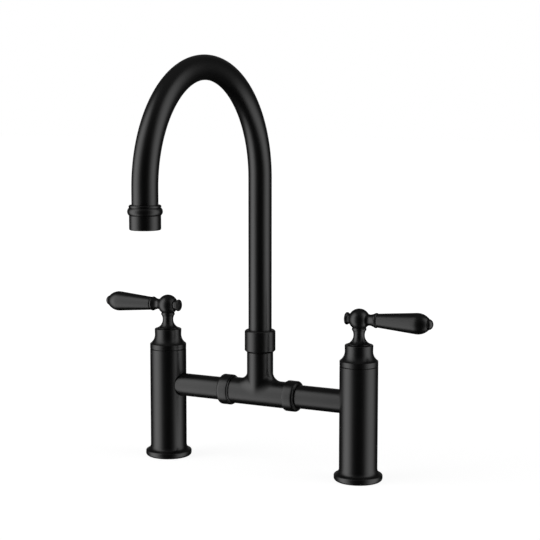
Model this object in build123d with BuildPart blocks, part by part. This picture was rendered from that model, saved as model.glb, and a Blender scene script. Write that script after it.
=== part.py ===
"""Bridge kitchen faucet: two pillar valves on 203.2 mm centres, joined by a bridge that carries a high
swan-neck spout.

Frame: millimetres, +Z up, origin on the deck midway between the two pillars' axes. X runs along the
bridge, the spout points to -Y (the user's side). Both levers point outwards at rest, water off.

The left valve is modelled where it stands and the right one is its mirror image in the YZ plane.
"""

import os
from math import atan, cos, sin, sqrt

from build123d import *

os.makedirs("parts", exist_ok=True)

# ---------------------------------------------------------------- driving dimensions
inlet_spacing = 203.2  # between the pillars' axes, 8 inches
pillar_height = 106.0
bridge_drop = 34.2  # bridge axis below the pillars' tops
lever_rise = 23.2  # lever axis above the bonnet's top

# clearances
running_gap = 0.05  # radial, a turning shaft in its hole
fitted_gap = 0.05  # radial, threads and spigots of pieces that don't turn
face_gap = 0.05  # axial, between a turning face and its neighbour
moving_gap = 0.3  # between uncovered surfaces that pass each other

# pillar
pillar_radius = 17.62
pillar_top_chamfer = 0.45
flange_radius = 22.42
flange_rim_height = 5.66
flange_slope_height = 2.32
flange_foot_round = 2.9
flange_rim_round = 1.5
flange_blend = 5.0
inlet_thread_radius = 9.3  # G 1/2 female, at the thread's crests
inlet_thread_depth = 15.0
waterway_radius = 6.0
seat_drop = 19.8  # the valve seat below the bridge's axis
chamber_radius = 9.6
cartridge_thread_radius = 10.45  # G 1/2 male
cartridge_thread_length = 9.0
head_clearance_radius = 13.0
head_clearance_height = 8.0
bonnet_thread_radius = 14.5
bonnet_thread_length = 8.5
seal_groove_inner_radius = 13.5
seal_groove_outer_radius = 17.5
seal_groove_depth = 1.6

# bridge
tube_radius = 10.93
bridge_bore_radius = 8.6
port_bore_radius = 7.5
port_ledge_distance = 10.9  # from the pillar's axis to the tube's seat
run_radius = 12.43
run_visible_half_length = 27.5
run_half_length = 35.0
stem_reduction = 0.06  # the tee's stem is this much thinner in radius than its run
crotch_radius = 8.8
nut_radius = 14.42
nut_length = 14.7
nut_outer_chamfer = 2.7
nut_inner_chamfer = 0.8
nut_lip_length = 0.85  # the thin ring at the nut's inner end
nut_lip_wall = 0.47
washer_thickness = 1.2
tube_flange_thickness = 2.0
small_ring_section = 1.1  # diameter of the o-ring's cord
large_ring_section = 1.6
ring_squeeze_gap = 0.02  # the o-rings are drawn this much clear of bore and groove
groove_play = 0.3  # an o-ring's groove is this much wider than its cord
end_groove_land = 0.8  # between the bridge tube's end and its o-ring groove

# riser and swivel
collar_radius = 14.5
collar_rise = 38.5  # the collar's foot above the bridge's axis
collar_height = 21.7
collar_foot_chamfer = 1.9
collar_top_chamfer = 1.18
stem_rise = 52.2  # the stem's end above the bridge's axis
socket_radius = 9.6
socket_depth = 31.0
stem_waterway_radius = 7.6
slip_ring_thickness = 0.5
insert_flange_thickness = 2.4
insert_bore_radius = 6.6
insert_spigot_length = 10.0
insert_end_gap = 1.0  # between the insert's end and the socket's floor
swivel_ring_rise = 5.0  # the lower o-ring above the insert's end
swivel_ring_pitch = 12.0

# spout
tube_wall = 1.2
bend_radius = 99.6
bend_height = 275.0  # where the half circle starts
outlet_straight = 13.0  # from the end of the half circle to the nozzle's top
bead_radius = 13.15
bead_height = 2.6
bead_round = 0.9
bead_groove_height = 0.35  # between the bead and the bulge
bead_groove_depth = 0.55
bulge_radius = 14.48
bulge_height = 6.5
nozzle_bore_radius = 9.4
aerator_radius = 13.0
aerator_height = 11.35
aerator_foot_round = 1.2
aerator_wall = 1.65
aerator_lip_height = 2.5
aerator_lip_radius = 9.8
aerator_washer_thickness = 1.3
insert_plate_thickness = 1.2
insert_core_depth = 1.7
mesh_hole_radius = 0.85
mesh_pitch = 2.3
mesh_rows = 7
screen_rows = 5
screen_thickness = 0.4

# bonnet
bonnet_neck_radius = 16.6
bonnet_neck_height = 0.75
bonnet_shoulder_height = 5.04
bonnet_waist_radius = 12.69
bonnet_waist_height = 14.0
bonnet_rim_radius = 12.95
bonnet_rim_height = 18.9
bonnet_height = 19.9
bonnet_rim_round = 0.95
bonnet_skirt_wall = 1.95
bonnet_hollow_radius = 10.0
bonnet_hollow_rise = 1.5  # the skirt's inner wall stays straight this far above the pillar's top
bonnet_roof = 5.7
bush_wall = 1.0
bush_flange_radius = 9.6
bush_flange_thickness = 1.2

# handle
boss_radius = 7.3
boss_length = 18.0
foot_radius = 10.0
foot_edge = 0.45
stem_flare_radius = 9.65  # the flare's outer end, on the foot
stem_waist_radius = 4.88
stem_waist_share = 0.675  # of the way from the foot up to the bead
stem_neck_radius = 6.0  # the neck's upper end, under the bead
bead_drop = 10.8  # the bead's underside below the lever's axis
bead_lip_radius = 6.2
stem_bead_radius = 6.55
ball_radius = 9.72
ball_flat_radius = 5.5
lever_neck_radius = 4.98
lever_neck_distance = 10.7
lever_bead_start = 15.2
lever_bead_radius = 6.8
lever_bead_length = 2.6
lever_bead_bulge = 0.5
grip_start = 18.1
grip_start_radius = 6.3
grip_groove_depth = 0.7
grip_corner_distance = 63.0
grip_corner_radius = 10.1
grip_shoulder_round = 11.0
grip_end = 66.8
grip_end_radius = 5.0
grip_edge_round = 0.5
button_seat_radius = 4.55
button_radius = 4.9
button_belt = 0.9
lever_tip = 71.1
finial_neck_radius = 4.7
finial_disc_start = 9.9
finial_disc_radius = 5.65
finial_disc_end = 13.0
finial_round = 1.25
finial_back_round = 0.75
finial_dome = 0.5
stud_radius = 2.0
stud_button_depth = 1.9
stud_finial_depth = 3.4

# cartridge
barrel_radius = 8.6
disc_radius = 7.35
disc_thickness = 3.0
disc_gap = 0.03
seat_seal_inner_radius = 5.2
seat_seal_height = 4.2
seat_seal_proud = 2.0
drive_slot_width = 5.0
drive_slot_depth = 1.25
drive_bar_length = 13.7
outflow_gap = 1.4
foot_flange_thickness = 2.8
shaft_radius = 5.0
spindle_ring_pitch = 6.0  # the lower o-ring sits as far above the foot flange's room
head_flats = 22.0
head_height = 6.0
stop_collar_radius = 8.0
stop_collar_height = 3.0
stop_lug_width = 40.0  # degrees
stop_lug_setback = 0.4
quarter_turn = 90.0  # degrees
stop_margin = 2.0  # degrees, left at each end of the lug's travel
window_count = 4
window_width = 6.6
clip_thickness = 0.9
clip_radius = 6.6
clip_groove_radius = 4.2
upper_shaft_radius = 4.8
spline_teeth = 20
spline_root_radius = 4.0
spline_tip_radius = 4.5
spline_tooth_width = 0.62
spline_length = 14.0
spline_end_relief = 0.5
tooth_overlap = 0.2  # each tooth is sunk this deep into its root circle
pin_radius = 3.0
pin_overrun = 1.4  # the pin reaches this far above the stud that crosses it
port_arc_radius = 3.9
port_arc_angle = 62.0
port_width = 2.9

# ---------------------------------------------------------------- derived places
half_spacing = inlet_spacing / 2
bridge_height = pillar_height - bridge_drop
seat_height = bridge_height - seat_drop
bonnet_thread_bottom = pillar_height - bonnet_thread_length
head_ledge = bonnet_thread_bottom - head_clearance_height
thread_bottom = head_ledge - cartridge_thread_length
bonnet_top = pillar_height + bonnet_height
handle_height = bonnet_top + lever_rise
foot_bottom = bonnet_top + moving_gap
boss_bottom = foot_bottom - boss_length
lever_seat = sqrt(ball_radius**2 - ball_flat_radius**2)
stem_radius = run_radius - stem_reduction
stem_top = bridge_height + stem_rise
collar_bottom = bridge_height + collar_rise
collar_top = collar_bottom + collar_height
nozzle_top = bend_height - outlet_straight

valve_axis = Axis((-half_spacing, 0, 0), (0, 0, 1))
valve_section = Plane(origin=(-half_spacing, 0, 0), x_dir=(1, 0, 0), z_dir=(0, -1, 0))
bridge_axis = Axis((0, 0, bridge_height), (-1, 0, 0))
# x along the bridge to the left, y away from the bridge's axis
bridge_section = Plane(origin=(0, 0, bridge_height), x_dir=(-1, 0, 0), z_dir=(0, 1, 0))
spout_section = Plane(origin=(0, 0, 0), x_dir=(1, 0, 0), z_dir=(0, -1, 0))
nozzle_axis = Axis((0, -2 * bend_radius, 0), (0, 0, 1))
nozzle_section = Plane(origin=(0, -2 * bend_radius, 0), x_dir=(1, 0, 0), z_dir=(0, -1, 0))
lever_axis = Axis((-half_spacing, 0, handle_height), (-1, 0, 0))
# x outwards along the lever from the ball's centre, y away from the lever's axis
lever_section = Plane(origin=(-half_spacing, 0, handle_height), x_dir=(-1, 0, 0), z_dir=(0, 1, 0))


def valve_plane(height):
    """Horizontal sketch plane on the left valve's axis."""
    return Plane(origin=(-half_spacing, 0, height))


def lever_plane(distance):
    """Plane across the left lever's axis, facing outwards, at a distance from the ball's centre."""
    return Plane(origin=(-half_spacing - distance, 0, handle_height), z_dir=(-1, 0, 0))


def save(piece, name):
    """Write one piece under its own name."""
    piece.part.label = name
    export_step(piece.part, f"parts/{name}.step")


def save_pair(piece, name):
    """Write the left piece and its mirror image on the right."""
    save(piece, f"left_{name}")
    with BuildPart() as twin:
        mirror(piece.part, about=Plane.YZ)
    save(twin, f"right_{name}")


def sector(start_angle, angle, radius):
    """Pie-shaped face about the origin."""
    arc = CenterArc((0, 0), radius, start_angle, angle)
    return make_face([Line((0, 0), arc @ 0), arc, Line(arc @ 1, (0, 0))])


def cove_points(waist_radius, waist_height, end_radius, end_height):
    """Middle and end of an arc in the valve's section that stands upright at its waist."""
    reach = end_height - waist_height
    swept = 2 * atan((end_radius - waist_radius) / reach)
    arc_radius = reach / sin(swept)
    middle = (waist_radius + arc_radius * (1 - cos(swept / 2)), waist_height + arc_radius * sin(swept / 2))
    return middle, (end_radius, end_height)


def plain_ring(plane, inner, outer, thickness):
    """Flat ring standing on a plane, about the plane's own axis."""
    with BuildPart() as ring:
        with BuildSketch(plane):
            Circle(outer)
            Circle(inner, mode=Mode.SUBTRACT)
        extrude(amount=thickness)
    return ring


# ---------------------------------------------------------------- pillar with its flange
with BuildPart() as pillar:
    with BuildSketch(valve_section):
        with BuildLine():
            FilletPolyline(
                (0, 0),
                (flange_radius, 0),
                (flange_radius, flange_rim_height),
                (pillar_radius, flange_rim_height + flange_slope_height),
                (pillar_radius, pillar_height),
                (0, pillar_height),
                radius=[0, flange_foot_round, flange_rim_round, flange_blend, 0, 0],
                close=True,
            )
        make_face()
    revolve(axis=valve_axis)
    chamfer(pillar.edges().filter_by(GeomType.CIRCLE).group_by(Axis.Z)[-1], pillar_top_chamfer)
    with BuildSketch(valve_section):
        with BuildLine():
            Polyline(
                (0, 0),
                (inlet_thread_radius, 0),
                (inlet_thread_radius, inlet_thread_depth),
                (waterway_radius, inlet_thread_depth),
                (waterway_radius, seat_height),
                (chamber_radius, seat_height),
                (chamber_radius, thread_bottom),
                (cartridge_thread_radius + fitted_gap, thread_bottom),
                (cartridge_thread_radius + fitted_gap, head_ledge),
                (head_clearance_radius, head_ledge),
                (head_clearance_radius, bonnet_thread_bottom),
                (bonnet_thread_radius + fitted_gap, bonnet_thread_bottom),
                (bonnet_thread_radius + fitted_gap, pillar_height),
                (0, pillar_height),
                close=True,
            )
        make_face()
    revolve(axis=valve_axis, mode=Mode.SUBTRACT)
    with BuildSketch(valve_plane(0)):
        Circle(seal_groove_outer_radius)
        Circle(seal_groove_inner_radius, mode=Mode.SUBTRACT)
    extrude(amount=seal_groove_depth, mode=Mode.SUBTRACT)
    # side port: a counterbore for the bridge tube, then the smaller waterway into the chamber
    port_ledge = Plane(origin=(port_ledge_distance - half_spacing, 0, bridge_height), z_dir=(1, 0, 0))
    with BuildSketch(port_ledge):
        Circle(tube_radius + fitted_gap)
    extrude(amount=pillar_radius, mode=Mode.SUBTRACT)
    with BuildSketch(port_ledge):
        Circle(port_bore_radius)
    extrude(amount=-port_ledge_distance, mode=Mode.SUBTRACT)
save_pair(pillar, "pillar")

base_seal = plain_ring(
    valve_plane(0),
    seal_groove_inner_radius + fitted_gap, seal_groove_outer_radius - fitted_gap, seal_groove_depth,
)
save_pair(base_seal, "base_seal")

# ---------------------------------------------------------------- cartridge
cartridge_bottom = seat_height + seat_seal_proud
fixed_disc_bottom = seat_height + seat_seal_height
turning_disc_bottom = fixed_disc_bottom + disc_thickness + disc_gap
turning_disc_top = turning_disc_bottom + disc_thickness
foot_flange_bottom = turning_disc_top + outflow_gap
foot_flange_top = foot_flange_bottom + foot_flange_thickness
disc_bore_top = foot_flange_top + 2 * face_gap
disc_bore_radius = disc_radius + running_gap
shaft_bore_radius = shaft_radius + running_gap
head_top = head_ledge + head_height
stop_collar_top = head_top + stop_collar_height
lug_rest_angle = 180.0
window_start_angle = lug_rest_angle - stop_lug_width / 2 - stop_margin
window_angle = quarter_turn + stop_lug_width + 2 * stop_margin
collar_opening = sector(window_start_angle, window_angle, stop_collar_radius + running_gap)

with BuildPart() as cartridge_body:
    with BuildSketch(valve_section):
        with BuildLine():
            Polyline(
                (disc_bore_radius, cartridge_bottom),
                (barrel_radius, cartridge_bottom),
                (barrel_radius, thread_bottom),
                (cartridge_thread_radius, thread_bottom),
                (cartridge_thread_radius, head_ledge),
                (stop_collar_radius, head_ledge),
                (stop_collar_radius, stop_collar_top),
                (shaft_bore_radius, stop_collar_top),
                (shaft_bore_radius, disc_bore_top),
                (disc_bore_radius, disc_bore_top),
                close=True,
            )
        make_face()
    revolve(axis=valve_axis)
    with BuildSketch(valve_plane(head_ledge)):
        RegularPolygon(head_flats / 2, 6, major_radius=False)
        Circle(shaft_bore_radius, mode=Mode.SUBTRACT)
    extrude(amount=head_height)
    # side windows where the water leaves the discs
    with BuildSketch(valve_plane(turning_disc_bottom)):
        with PolarLocations(barrel_radius, window_count):
            Rectangle(2 * (barrel_radius - shaft_radius), window_width)
    extrude(amount=disc_bore_top - turning_disc_bottom, mode=Mode.SUBTRACT)
    # the stop collar is open where the spindle's lug swings
    with BuildSketch(valve_plane(head_top)):
        add(collar_opening)
    extrude(amount=stop_collar_height, mode=Mode.SUBTRACT)
save_pair(cartridge_body, "cartridge_body")

seat_seal = plain_ring(valve_plane(seat_height), seat_seal_inner_radius, disc_radius, seat_seal_height)
save_pair(seat_seal, "seat_seal")


def ported_disc(bottom, port_direction):
    """Ceramic disc with two kidney ports, one each side of the axis."""
    port_line = CenterArc((0, 0), port_arc_radius, port_direction - port_arc_angle / 2, port_arc_angle)
    with BuildPart() as disc:
        with BuildSketch(valve_plane(bottom)):
            Circle(disc_radius)
            with PolarLocations(0, 2):
                SlotArc(port_line, port_width, mode=Mode.SUBTRACT)
        extrude(amount=disc_thickness)
    return disc


save_pair(ported_disc(fixed_disc_bottom, 0), "fixed_disc")

disc_blank = ported_disc(turning_disc_bottom, 90)
with BuildPart() as turning_disc:
    add(disc_blank.part)
    with BuildSketch(valve_plane(turning_disc_top)):
        Rectangle(2 * disc_radius, drive_slot_width)
    extrude(amount=-drive_slot_depth, mode=Mode.SUBTRACT)
save_pair(turning_disc, "turning_disc")

# spindle: drive bar, foot flange, sealed shaft, stop lug, clip groove, spline and top pin
lower_ring_height = disc_bore_top + spindle_ring_pitch
upper_ring_height = lower_ring_height + spindle_ring_pitch
ring_groove_width = small_ring_section + groove_play
ring_groove_radius = shaft_bore_radius - small_ring_section - 2 * ring_squeeze_gap
clip_bottom = stop_collar_top + face_gap
clip_top = clip_bottom + clip_thickness
spline_bottom = boss_bottom + spline_end_relief
spline_top = spline_bottom + spline_length
pin_top = handle_height + stud_radius + pin_overrun
lug_bottom = head_top + face_gap
lug_top = stop_collar_top - face_gap
lug_radius = stop_collar_radius - stop_lug_setback
stop_lug = sector(lug_rest_angle - stop_lug_width / 2, stop_lug_width, lug_radius)
drive_bar_bottom = turning_disc_top - drive_slot_depth + face_gap

with BuildPart() as spindle:
    with BuildSketch(valve_section):
        with BuildLine():
            Polyline(
                (0, foot_flange_bottom),
                (disc_radius, foot_flange_bottom),
                (disc_radius, foot_flange_top),
                (shaft_radius, foot_flange_top),
                (shaft_radius, clip_bottom),
                (clip_groove_radius, clip_bottom),
                (clip_groove_radius, clip_top),
                (upper_shaft_radius, clip_top),
                (upper_shaft_radius, boss_bottom),
                (spline_root_radius, boss_bottom),
                (spline_root_radius, spline_top),
                (pin_radius, spline_top),
                (pin_radius, pin_top),
                (0, pin_top),
                close=True,
            )
        make_face()
    revolve(axis=valve_axis)
    with BuildSketch(valve_plane(spline_bottom)):
        with PolarLocations((spline_root_radius + spline_tip_radius) / 2, spline_teeth):
            Rectangle(spline_tip_radius - spline_root_radius + tooth_overlap, spline_tooth_width)
    extrude(amount=spline_length - spline_end_relief)
    with BuildSketch(valve_plane(lug_bottom)):
        add(stop_lug)
    extrude(amount=lug_top - lug_bottom)
    with BuildSketch(valve_plane(drive_bar_bottom)):
        Rectangle(drive_bar_length, drive_slot_width - 2 * fitted_gap)
    extrude(amount=foot_flange_bottom - drive_bar_bottom)
    for ring_height in (lower_ring_height, upper_ring_height):
        with BuildSketch(valve_plane(ring_height - ring_groove_width / 2)):
            Circle(disc_radius)
            Circle(ring_groove_radius, mode=Mode.SUBTRACT)
        extrude(amount=ring_groove_width, mode=Mode.SUBTRACT)
    with BuildSketch(lever_plane(ball_radius)):
        Circle(stud_radius + fitted_gap)
    extrude(amount=-2 * ball_radius, mode=Mode.SUBTRACT)
save_pair(spindle, "spindle")

with BuildPart() as spindle_orings:
    for ring_height in (lower_ring_height, upper_ring_height):
        with BuildSketch(valve_section):
            with Locations((shaft_bore_radius - ring_squeeze_gap - small_ring_section / 2, ring_height)):
                Circle(small_ring_section / 2)
        revolve(axis=valve_axis)
save_pair(spindle_orings, "spindle_orings")

with BuildPart() as spindle_clip:
    with BuildSketch(valve_plane(clip_bottom + face_gap)):
        Circle(clip_radius)
        Circle(clip_groove_radius + fitted_gap, mode=Mode.SUBTRACT)
        with Locations((clip_radius, 0)):
            Rectangle(2 * clip_radius, clip_groove_radius, mode=Mode.SUBTRACT)
    extrude(amount=clip_thickness - 2 * face_gap)
save_pair(spindle_clip, "spindle_clip")

# ---------------------------------------------------------------- bonnet and its bush
bonnet_roof_bottom = bonnet_top - bonnet_roof
hollow_corner = pillar_height + bonnet_hollow_rise
hollow_top = pillar_height + bonnet_shoulder_height
bush_outer_radius = boss_radius + running_gap + bush_wall
waist_top = pillar_height + bonnet_waist_height
cove_middle, cove_end = cove_points(bonnet_waist_radius, waist_top, pillar_radius, hollow_top)

with BuildPart() as bonnet:
    with BuildSketch(valve_section):
        with BuildLine():
            Polyline(
                (0, bonnet_thread_bottom + moving_gap),
                (bonnet_thread_radius, bonnet_thread_bottom + moving_gap),
                (bonnet_thread_radius, pillar_height),
                (bonnet_neck_radius, pillar_height),
                (bonnet_neck_radius, pillar_height + bonnet_neck_height),
                (pillar_radius, pillar_height + bonnet_neck_height),
                cove_end,
            )
            ThreePointArc(cove_end, cove_middle, (bonnet_waist_radius, waist_top))
            Polyline(
                (bonnet_waist_radius, waist_top),
                (bonnet_rim_radius, pillar_height + bonnet_rim_height),
                (bonnet_rim_radius, bonnet_top),
                (0, bonnet_top),
                (0, bonnet_thread_bottom + moving_gap),
            )
        make_face()
    revolve(axis=valve_axis)
    fillet(bonnet.edges().filter_by(GeomType.CIRCLE).group_by(Axis.Z)[-1], bonnet_rim_round)
    with BuildSketch(valve_section):
        with BuildLine():
            Polyline(
                (0, bonnet_thread_bottom + moving_gap),
                (bonnet_thread_radius - bonnet_skirt_wall, bonnet_thread_bottom + moving_gap),
                (bonnet_thread_radius - bonnet_skirt_wall, hollow_corner),
                (bonnet_hollow_radius, hollow_top),
                (bonnet_hollow_radius, bonnet_roof_bottom),
                (bush_outer_radius + fitted_gap, bonnet_roof_bottom),
                (bush_outer_radius + fitted_gap, bonnet_top),
                (0, bonnet_top),
                close=True,
            )
        make_face()
    revolve(axis=valve_axis, mode=Mode.SUBTRACT)
save_pair(bonnet, "bonnet")

with BuildPart() as bonnet_bush:
    with BuildSketch(valve_section):
        with BuildLine():
            Polyline(
                (boss_radius + running_gap, bonnet_roof_bottom - bush_flange_thickness),
                (bush_flange_radius, bonnet_roof_bottom - bush_flange_thickness),
                (bush_flange_radius, bonnet_roof_bottom),
                (bush_outer_radius, bonnet_roof_bottom),
                (bush_outer_radius, bonnet_top - moving_gap),
                (boss_radius + running_gap, bonnet_top - moving_gap),
                close=True,
            )
        make_face()
    revolve(axis=valve_axis)
save_pair(bonnet_bush, "bonnet_bush")

# ---------------------------------------------------------------- handle
foot_top = foot_bottom + foot_edge
bead_top = handle_height - sqrt(ball_radius**2 - bead_lip_radius**2)
bead_bottom = handle_height - bead_drop
stem_waist_height = foot_top + stem_waist_share * (bead_bottom - foot_top)
stem_waist = (stem_waist_radius, stem_waist_height)
flare_middle, flare_end = cove_points(stem_waist_radius, stem_waist_height, stem_flare_radius, foot_top)
neck_middle, neck_end = cove_points(stem_waist_radius, stem_waist_height, stem_neck_radius, bead_bottom)

with BuildPart() as handle_hub:
    with BuildSketch(valve_section):
        with BuildLine():
            Polyline(
                (0, boss_bottom + face_gap),
                (boss_radius, boss_bottom + face_gap),
                (boss_radius, foot_bottom),
                (foot_radius, foot_bottom),
                (foot_radius, foot_top),
                flare_end,
            )
            ThreePointArc(flare_end, flare_middle, stem_waist)
            ThreePointArc(stem_waist, neck_middle, neck_end)
            Line(neck_end, (bead_lip_radius, bead_bottom))
            ThreePointArc(
                (bead_lip_radius, bead_bottom),
                (stem_bead_radius, (bead_bottom + bead_top) / 2),
                (bead_lip_radius, bead_top),
            )
            Line((bead_lip_radius, bead_top), (0, bead_top))
            Line((0, bead_top), (0, boss_bottom + face_gap))
        make_face()
    revolve(axis=valve_axis)
    with Locations((-half_spacing, 0, handle_height)):
        Sphere(ball_radius)
    # flat seats for the lever and for the finial
    for side in (1, -1):
        with BuildSketch(lever_plane(side * lever_seat)):
            Circle(ball_radius)
        extrude(amount=side * ball_radius, mode=Mode.SUBTRACT)
    with BuildSketch(lever_plane(ball_radius)):
        Circle(stud_radius + fitted_gap)
    extrude(amount=-2 * ball_radius, mode=Mode.SUBTRACT)
    # splined socket in the boss and the smaller bore for the spindle's pin
    with BuildSketch(valve_plane(boss_bottom)):
        Circle(spline_root_radius + fitted_gap)
        with PolarLocations((spline_root_radius + spline_tip_radius) / 2 + fitted_gap, spline_teeth):
            Rectangle(
                spline_tip_radius - spline_root_radius + tooth_overlap,
                spline_tooth_width + 2 * fitted_gap,
            )
    extrude(amount=spline_top + face_gap - boss_bottom, mode=Mode.SUBTRACT)
    with BuildSketch(valve_plane(boss_bottom)):
        Circle(pin_radius + fitted_gap)
    extrude(amount=pin_top + face_gap - boss_bottom, mode=Mode.SUBTRACT)
save_pair(handle_hub, "handle_hub")

# lever arm: a turned neck and bead with the stud that runs through ball and grip
lever_bead_end = lever_bead_start + lever_bead_length
button_seat = grip_end + face_gap
stud_outer_end = button_seat + stud_button_depth
stud_inner_end = -(lever_seat + stud_finial_depth)
bead_lip = lever_bead_radius - lever_bead_bulge

with BuildPart() as lever_arm:
    with BuildSketch(lever_section):
        with BuildLine():
            Polyline(
                (stud_inner_end, 0),
                (stud_inner_end, stud_radius),
                (lever_seat, stud_radius),
                (lever_seat, ball_flat_radius),
            )
            Spline(
                (lever_seat, ball_flat_radius),
                (lever_neck_distance, lever_neck_radius),
                (lever_bead_start, bead_lip),
                tangents=((1, -0.55), (1, 0.45)),
            )
            ThreePointArc(
                (lever_bead_start, bead_lip),
                ((lever_bead_start + lever_bead_end) / 2, lever_bead_radius),
                (lever_bead_end, bead_lip),
            )
            Polyline(
                (lever_bead_end, bead_lip),
                (lever_bead_end, stud_radius),
                (stud_outer_end, stud_radius),
                (stud_outer_end, 0),
                (stud_inner_end, 0),
            )
        make_face()
    revolve(axis=lever_axis)
save_pair(lever_arm, "lever_arm")

with BuildPart() as lever_grip:
    with BuildSketch(lever_section):
        with BuildLine():
            FilletPolyline(
                (lever_bead_end, stud_radius + fitted_gap),
                (lever_bead_end, grip_start_radius - grip_groove_depth),
                (grip_start, grip_start_radius),
                (grip_corner_distance, grip_corner_radius),
                (grip_end, grip_end_radius),
                (grip_end, stud_radius + fitted_gap),
                radius=[0, 0, 0, grip_shoulder_round, grip_edge_round, 0],
                close=True,
            )
        make_face()
    revolve(axis=lever_axis)
save_pair(lever_grip, "lever_grip")

dome_start = button_seat + button_belt
with BuildPart() as lever_end_button:
    with BuildSketch(lever_section):
        with BuildLine():
            Polyline(
                (lever_tip, 0),
                (button_seat, 0),
                (button_seat, button_seat_radius),
                (dome_start, button_radius),
            )
            EllipticalCenterArc((dome_start, 0), lever_tip - dome_start, button_radius, arc_size=90)
        make_face()
    revolve(axis=lever_axis)
    with BuildSketch(lever_plane(button_seat)):
        Circle(stud_radius + fitted_gap)
    extrude(amount=stud_button_depth + face_gap, mode=Mode.SUBTRACT)
save_pair(lever_end_button, "lever_end_button")

with BuildPart() as lever_finial:
    with BuildSketch(lever_section):
        with BuildLine():
            FilletPolyline(
                (-lever_seat, 0),
                (-lever_seat, finial_neck_radius),
                (-finial_disc_start, finial_neck_radius),
                (-finial_disc_start, finial_disc_radius),
                (-finial_disc_end, finial_disc_radius),
                (-finial_disc_end - finial_dome, 0),
                radius=[0, 0, 0, finial_back_round, finial_round, 0],
                close=True,
            )
        make_face()
    revolve(axis=lever_axis)
    with BuildSketch(lever_plane(-lever_seat)):
        Circle(stud_radius + fitted_gap)
    extrude(amount=-(stud_finial_depth + face_gap), mode=Mode.SUBTRACT)
save_pair(lever_finial, "lever_finial")

# ---------------------------------------------------------------- bridge tee
socket_bottom = stem_top - socket_depth

with BuildPart() as bridge_tee:
    with BuildSketch(Plane(origin=(-run_half_length, 0, bridge_height), z_dir=(1, 0, 0))):
        Circle(run_radius)
    extrude(amount=2 * run_half_length)
    with BuildSketch(Plane.XY.offset(bridge_height)):
        Circle(stem_radius)
    extrude(amount=stem_top - bridge_height)
    crotch = bridge_tee.edges().filter_by(
        lambda edge: edge.geom_type not in (GeomType.LINE, GeomType.CIRCLE)
    )
    fillet(crotch, crotch_radius)
    with BuildSketch(Plane(origin=(-run_half_length, 0, bridge_height), z_dir=(1, 0, 0))):
        Circle(bridge_bore_radius)
    extrude(amount=2 * run_half_length, mode=Mode.SUBTRACT)
    with Locations((0, 0, stem_top)):
        CounterBoreHole(stem_waterway_radius, socket_radius, socket_depth, stem_top - bridge_height)
save(bridge_tee, "bridge_tee")

# ---------------------------------------------------------------- bridge tubes and unions
tube_flange_start = run_half_length + washer_thickness
tube_flange_end = tube_flange_start + tube_flange_thickness
tube_outer_end = half_spacing - port_ledge_distance - fitted_gap
end_groove_width = small_ring_section + groove_play
end_groove_depth = small_ring_section + 2 * ring_squeeze_gap - fitted_gap
end_groove_start = tube_outer_end - end_groove_land - end_groove_width
nut_start = run_visible_half_length
nut_end = nut_start + nut_length
nut_lip_end = nut_start + nut_lip_length
nut_lip_radius = run_radius + fitted_gap + nut_lip_wall

with BuildPart() as bridge_tube:
    with BuildSketch(bridge_section):
        with BuildLine():
            Polyline(
                (tube_flange_start, bridge_bore_radius),
                (tube_flange_start, run_radius),
                (tube_flange_end, run_radius),
                (tube_flange_end, tube_radius),
                (end_groove_start, tube_radius),
                (end_groove_start, tube_radius - end_groove_depth),
                (end_groove_start + end_groove_width, tube_radius - end_groove_depth),
                (end_groove_start + end_groove_width, tube_radius),
                (tube_outer_end, tube_radius),
                (tube_outer_end, bridge_bore_radius),
                close=True,
            )
        make_face()
    revolve(axis=bridge_axis)
save_pair(bridge_tube, "bridge_tube")

with BuildPart() as bridge_oring:
    with BuildSketch(bridge_section):
        with Locations((
            end_groove_start + end_groove_width / 2,
            tube_radius + fitted_gap - ring_squeeze_gap - small_ring_section / 2,
        )):
            Circle(small_ring_section / 2)
    revolve(axis=bridge_axis)
save_pair(bridge_oring, "bridge_oring")

run_end = Plane(origin=(-run_half_length, 0, bridge_height), z_dir=(-1, 0, 0))
union_washer = plain_ring(run_end, bridge_bore_radius, run_radius, washer_thickness)
save_pair(union_washer, "union_washer")

with BuildPart() as union_nut:
    with BuildSketch(bridge_section):
        with BuildLine():
            Polyline(
                (nut_start, run_radius + fitted_gap),
                (nut_start, nut_lip_radius),
                (nut_lip_end, nut_lip_radius),
                (nut_lip_end, nut_radius - nut_inner_chamfer),
                (nut_lip_end + nut_inner_chamfer, nut_radius),
                (nut_end - nut_outer_chamfer, nut_radius),
                (nut_end, nut_radius - nut_outer_chamfer),
                (nut_end, tube_radius + fitted_gap),
                (tube_flange_end, tube_radius + fitted_gap),
                (tube_flange_end, run_radius + fitted_gap),
                close=True,
            )
        make_face()
    revolve(axis=bridge_axis)
save_pair(union_nut, "union_nut")

# ---------------------------------------------------------------- riser collar and swivel
insert_flange_bottom = stem_top + slip_ring_thickness + 2 * face_gap
insert_flange_top = insert_flange_bottom + insert_flange_thickness
collar_lip_bottom = insert_flange_top + slip_ring_thickness + 2 * face_gap
insert_radius = socket_radius - running_gap
insert_bottom = socket_bottom + insert_end_gap
tube_bore_radius = tube_radius - tube_wall
insert_spigot_radius = tube_bore_radius - fitted_gap
swivel_groove_radius = socket_radius - large_ring_section - 2 * ring_squeeze_gap
swivel_groove_width = large_ring_section + groove_play
lower_seal_height = insert_bottom + swivel_ring_rise
swivel_ring_heights = (lower_seal_height, lower_seal_height + swivel_ring_pitch)
collar_bore_radius = stem_radius + fitted_gap

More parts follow.
